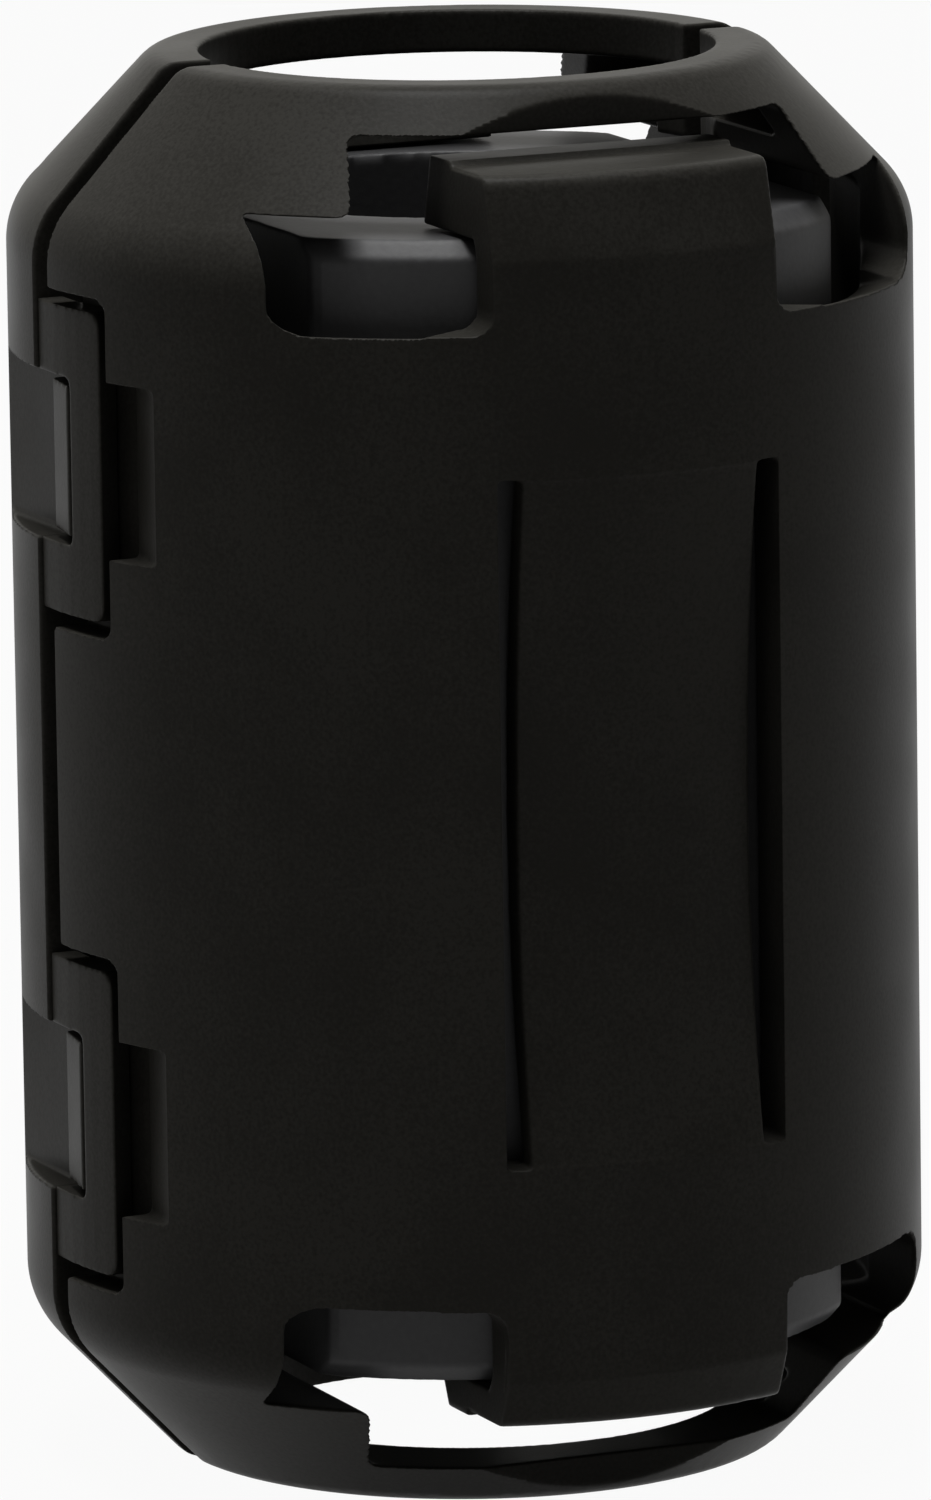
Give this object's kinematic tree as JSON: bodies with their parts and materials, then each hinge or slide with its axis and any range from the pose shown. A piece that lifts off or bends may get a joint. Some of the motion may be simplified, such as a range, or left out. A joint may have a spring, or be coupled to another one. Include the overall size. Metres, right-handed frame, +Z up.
{
  "type": "clip on ferrite bead",
  "caption": "Cylindrical clip on ferrite bead: hinged plastic housing with conical ends, snap latches and a split ferrite core that closes around a cable to damp noise.",
  "frame": {"origin": "middle of the cable bore", "axes": "+Z up along the cable bore, +X towards the hinge, -Y towards the front half, as in the picture"},
  "size_m": [0.0271, 0.0258, 0.0404],
  "materials": {
    "nylon": "matte black moulded nylon",
    "ferrite": "dark grey sintered ferrite"
  },
  "bodies": {
    "rear_half": {"rear_shell": "nylon", "rear_core": "ferrite", "upper_hinge_strap": "nylon", "lower_hinge_strap": "nylon"},
    "front_half": {"front_shell": "nylon", "front_core": "ferrite"},
    "upper_latch": {"upper_latch_loop": "nylon"},
    "lower_latch": {"lower_latch_loop": "nylon"}
  },
  "joints": [
    {"name": "shell_hinge", "type": "hinge", "parent": "rear_half", "child": "front_half", "pos_m": [0.0133, 0, 0], "axis": [0, 0, 1], "range_deg": [0, 170], "deforming": ["upper_hinge_strap", "lower_hinge_strap", "upper_latch_loop", "lower_latch_loop"]},
    {"name": "upper_latch_flex", "type": "hinge", "parent": "rear_half", "child": "upper_latch", "pos_m": [-0.01277, 0.0005, 0.0094], "axis": [0, 0, -1], "range_deg": [0, 25], "stiffness_Nm_per_rad": 0.02},
    {"name": "lower_latch_flex", "type": "hinge", "parent": "rear_half", "child": "lower_latch", "pos_m": [-0.01277, 0.0005, -0.0094], "axis": [0, 0, -1], "range_deg": [0, 25], "stiffness_Nm_per_rad": 0.02}
  ]
}
